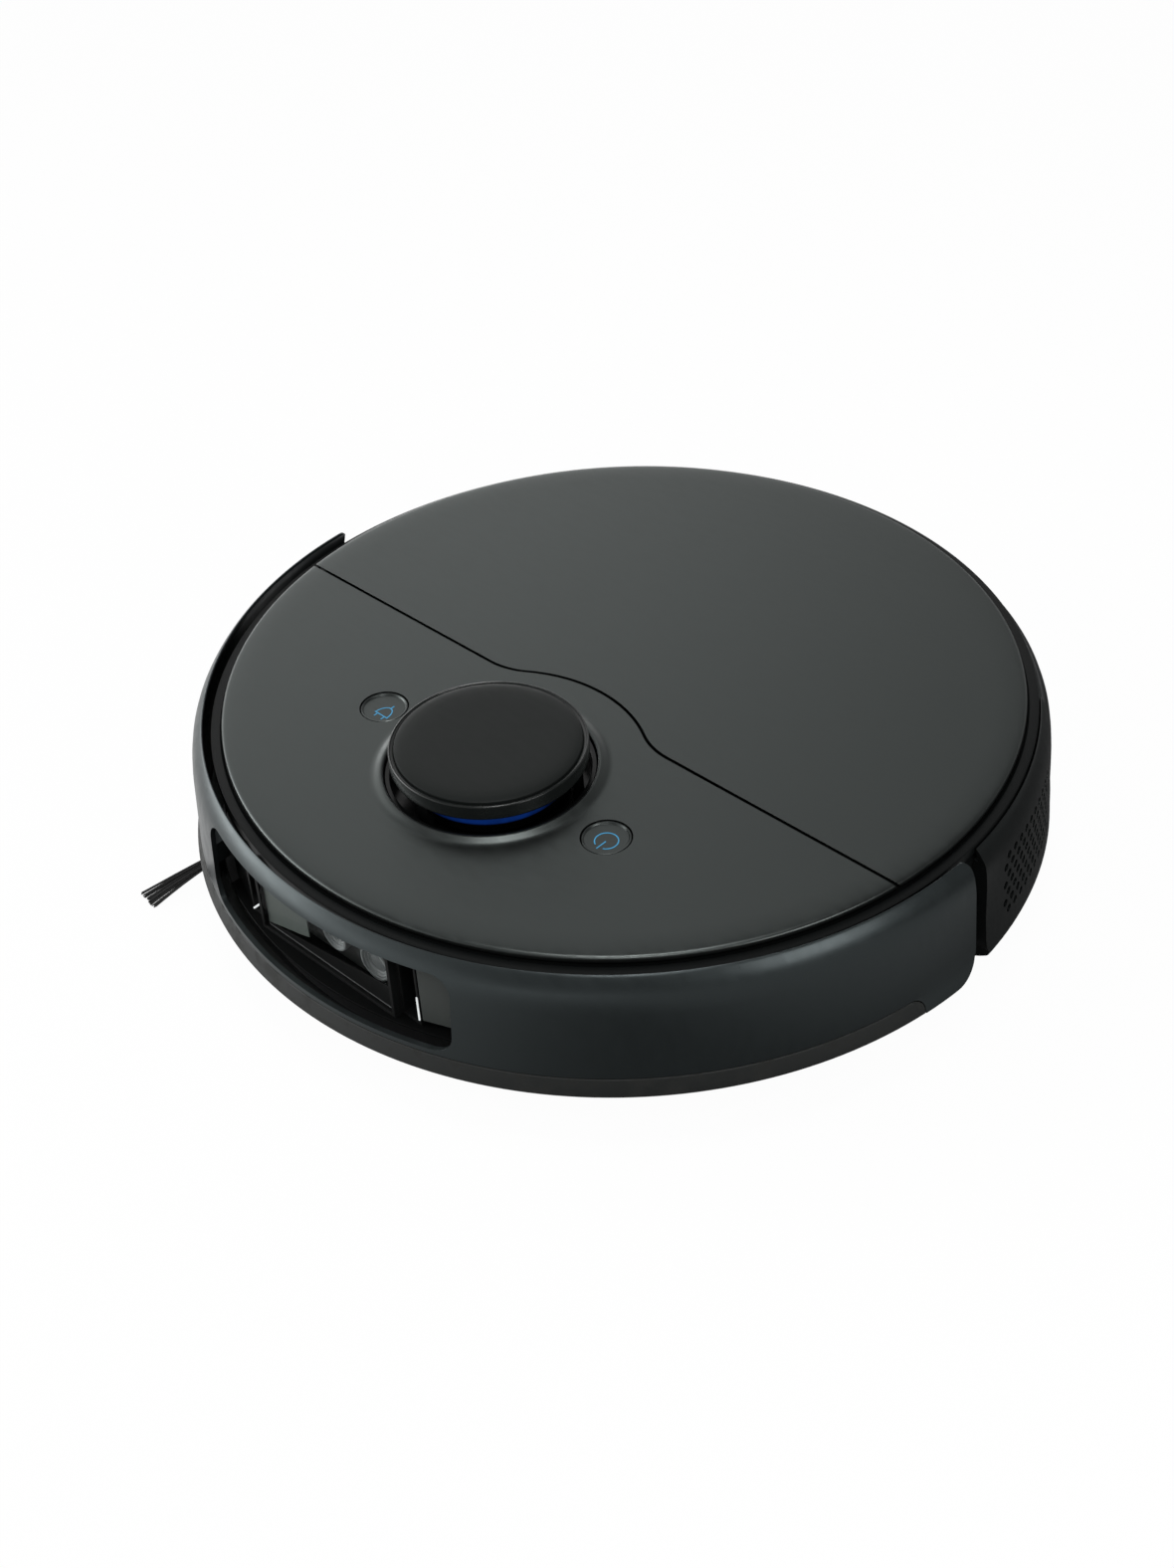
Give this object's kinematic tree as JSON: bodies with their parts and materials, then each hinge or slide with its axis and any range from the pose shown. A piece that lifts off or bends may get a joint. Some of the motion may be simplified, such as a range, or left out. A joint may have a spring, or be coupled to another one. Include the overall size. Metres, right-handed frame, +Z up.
{
  "type": "robot vacuum",
  "caption": "Round robot vacuum cleaner with a lidar turret, camera window in its bumper, hinged lid, sprung drive wheels, brushes, dust box and rear water tank",
  "frame": {"origin": "on the floor, under the centre of the round top covers", "axes": "+Z up, -Y the way the robot drives, +X towards the side with the exhaust grille"},
  "size_m": [0.35, 0.3455, 0.0866],
  "materials": {
    "satin_cover": "satin dark grey moulded plastic",
    "bumper": "satin black moulded plastic",
    "soft_strip": "matte black soft strip",
    "shell": "satin black moulded plastic",
    "matte_black": "matte black moulded plastic",
    "cap": "satin near-black moulded plastic",
    "chassis": "matte dark grey moulded plastic",
    "grey_plastic": "matte mid grey moulded plastic",
    "rubber": "matte black rubber",
    "tyre": "matte black ribbed tyre",
    "steel": "plain steel",
    "smoked_glass": "smoked clear plastic",
    "lens": "dark lens barrel",
    "bristle": "black nylon bristles",
    "battery": "sleeved battery pack",
    "board": "green circuit board",
    "contact": "plated contact",
    "dust_box": "smoked clear plastic",
    "filter": "pleated white filter paper"
  },
  "bodies": {
    "chassis": {"chassis_base": "chassis", "deck_frame": "matte_black", "front_cover": "satin_cover", "side_shell_left": "shell", "side_shell_right": "shell", "sensor_housing": "matte_black", "sensor_glass": "smoked_glass", "camera_lens": "lens", "projector_lens": "lens", "lidar_base": "matte_black", "lidar_cap": "cap", "lidar_cap_disc": "cap", "lidar_motor": "steel", "lidar_belt": "rubber", "battery_pack": "battery", "battery_cover": "chassis", "main_board": "board", "charge_contact_left": "contact", "charge_contact_right": "contact", "cliff_window_left": "smoked_glass", "cliff_window_right": "smoked_glass", "dust_box": "dust_box", "dust_filter": "filter", "fan_housing": "grey_plastic", "brush_gearbox": "chassis", "brush_cover": "matte_black", "side_brush_gearbox": "chassis", "hinge_pin_left": "steel", "hinge_pin_right": "steel", "left_drive_spring": "steel", "right_drive_spring": "steel", "bumper_spring_left": "steel", "bumper_spring_right": "steel"},
    "bumper": {"front_bumper": "bumper", "bumper_strip": "soft_strip"},
    "lid": {"rear_lid": "satin_cover"},
    "home_button": {"home_button": "satin_cover"},
    "power_button": {"power_button": "satin_cover"},
    "lidar_head": {"lidar_rotor": "matte_black"},
    "motor_pulley": {"motor_pulley": "grey_plastic"},
    "left_drive": {"left_drive_arm": "chassis"},
    "left_wheel": {"left_wheel_hub": "grey_plastic", "left_tyre": "tyre"},
    "right_drive": {"right_drive_arm": "chassis"},
    "right_wheel": {"right_wheel_hub": "grey_plastic", "right_tyre": "tyre"},
    "caster": {"caster_fork": "grey_plastic", "caster_axle": "steel"},
    "caster_wheel": {"caster_wheel": "rubber"},
    "main_brush": {"brush_roller": "rubber", "brush_shaft": "grey_plastic"},
    "side_brush": {"side_brush_hub": "grey_plastic", "side_brush_tuft_1": "bristle", "side_brush_tuft_2": "bristle", "side_brush_tuft_3": "bristle"},
    "fan": {"fan_impeller": "grey_plastic"},
    "tank": {"water_tank": "shell", "tank_plug": "rubber"},
    "tank_release": {"tank_release": "shell"}
  },
  "joints": [
    {"name": "bumper_slide", "type": "slide", "parent": "chassis", "child": "bumper", "axis": [0, 1, 0], "range_m": [0, 0.0035], "stiffness_N_per_m": 500, "springref_m": -0.002, "deforming": ["bumper_spring_left", "bumper_spring_right"]},
    {"name": "lid_hinge", "type": "hinge", "parent": "chassis", "child": "lid", "pos_m": [0, -0.038, 0.067], "axis": [1, 0, 0], "range_deg": [0, 65]},
    {"name": "home_button_press", "type": "slide", "parent": "chassis", "child": "home_button", "axis": [0, 0, -1], "range_m": [0, 0.0006], "stiffness_N_per_m": 1500, "springref_m": -0.0003},
    {"name": "power_button_press", "type": "slide", "parent": "chassis", "child": "power_button", "axis": [0, 0, -1], "range_m": [0, 0.0006], "stiffness_N_per_m": 1500, "springref_m": -0.0003},
    {"name": "lidar_spin", "type": "hinge", "parent": "chassis", "child": "lidar_head", "pos_m": [0, -0.0724, 0.07], "axis": [0, 0, 1], "continuous": true},
    {"name": "motor_pulley_spin", "type": "hinge", "parent": "chassis", "child": "motor_pulley", "pos_m": [-0.044, -0.106, 0.058], "axis": [0, 0, 1], "continuous": true},
    {"name": "left_suspension", "type": "hinge", "parent": "chassis", "child": "left_drive", "pos_m": [0.098, 0.045, 0.034], "axis": [1, 0, 0], "range_deg": [0, 18], "stiffness_Nm_per_rad": 0.2, "springref_deg": 68.75, "deforming": ["left_drive_spring"]},
    {"name": "right_suspension", "type": "hinge", "parent": "chassis", "child": "right_drive", "pos_m": [-0.098, 0.045, 0.034], "axis": [1, 0, 0], "range_deg": [0, 18], "stiffness_Nm_per_rad": 0.2, "springref_deg": 68.75, "deforming": ["right_drive_spring"]},
    {"name": "left_wheel_spin", "type": "hinge", "parent": "left_drive", "child": "left_wheel", "pos_m": [0.1175, 0, 0.031], "axis": [1, 0, 0], "continuous": true},
    {"name": "right_wheel_spin", "type": "hinge", "parent": "right_drive", "child": "right_wheel", "pos_m": [-0.1175, 0, 0.031], "axis": [1, 0, 0], "continuous": true},
    {"name": "caster_swivel", "type": "hinge", "parent": "chassis", "child": "caster", "pos_m": [0, -0.118, 0.03], "axis": [0, 0, 1], "continuous": true},
    {"name": "caster_roll", "type": "hinge", "parent": "caster", "child": "caster_wheel", "pos_m": [0, -0.114, 0.0115], "axis": [1, 0, 0], "continuous": true},
    {"name": "main_brush_spin", "type": "hinge", "parent": "chassis", "child": "main_brush", "pos_m": [-0.01, 0.002, 0.0196], "axis": [1, 0, 0], "continuous": true},
    {"name": "side_brush_spin", "type": "hinge", "parent": "chassis", "child": "side_brush", "pos_m": [-0.101, -0.097, 0.008], "axis": [0, 0, 1], "continuous": true},
    {"name": "fan_spin", "type": "hinge", "parent": "chassis", "child": "fan", "pos_m": [0.1, 0.0767, 0.04], "axis": [0, 0, 1], "continuous": true},
    {"name": "tank_slide", "type": "slide", "parent": "chassis", "child": "tank", "axis": [0, 1, 0], "range_m": [0, 0.08]},
    {"name": "tank_release_press", "type": "slide", "parent": "tank", "child": "tank_release", "axis": [0, -1, 0], "range_m": [0, 0.003], "stiffness_N_per_m": 600, "springref_m": -0.001}
  ],
  "couplings": [
    {"joint": "motor_pulley_spin", "follows": "lidar_spin", "ratio": 4.84}
  ]
}
